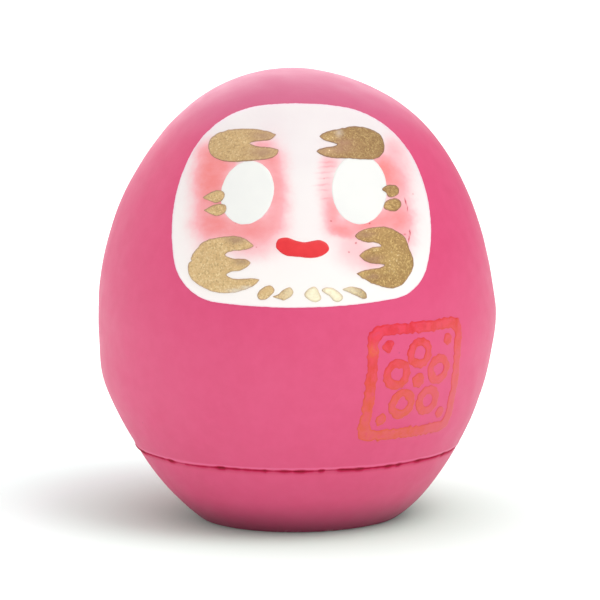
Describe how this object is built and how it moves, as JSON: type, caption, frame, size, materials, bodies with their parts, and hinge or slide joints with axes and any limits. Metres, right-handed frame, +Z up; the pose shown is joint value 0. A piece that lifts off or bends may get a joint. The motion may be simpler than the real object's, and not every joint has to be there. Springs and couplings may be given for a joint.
{
  "type": "daruma doll",
  "caption": "Hollow egg-shaped daruma doll on a flat weighted base, hand painted with a white face, blank eyes, gold brow and beard strokes, a red mouth and a red seal mark on its flank.",
  "frame": {"origin": "centre of the flat foot, on the surface the doll stands on", "axes": "+Z up; the face looks along -Y; +X is to the right of a viewer who faces the doll"},
  "size_m": [0.0616, 0.0616, 0.07],
  "materials": {
    "shell_pink": "matte",
    "base_pink": "matte",
    "ballast_clay": "matte",
    "hide_glue": "satin",
    "face_white": "satin",
    "eye_white": "satin",
    "gold_paint": "satin",
    "mouth_red": "satin",
    "seal_ink": "matte"
  },
  "bodies": {
    "root": {"body_shell": "shell_pink", "base_cup": "base_pink", "ballast_weight": "ballast_clay", "joint_glue": "hide_glue", "face_coat": "face_white", "left_eye": "eye_white", "right_eye": "eye_white", "left_brow": "gold_paint", "right_brow": "gold_paint", "left_beard": "gold_paint", "right_beard": "gold_paint", "left_eye_tick_upper": "gold_paint", "left_eye_tick_lower": "gold_paint", "right_eye_tick_upper": "gold_paint", "right_eye_tick_lower": "gold_paint", "chin_tick_1": "gold_paint", "chin_tick_2": "gold_paint", "chin_tick_3": "gold_paint", "chin_tick_4": "gold_paint", "chin_tick_5": "gold_paint", "mouth": "mouth_red", "seal_stamp": "seal_ink"}
  },
  "joints": []
}
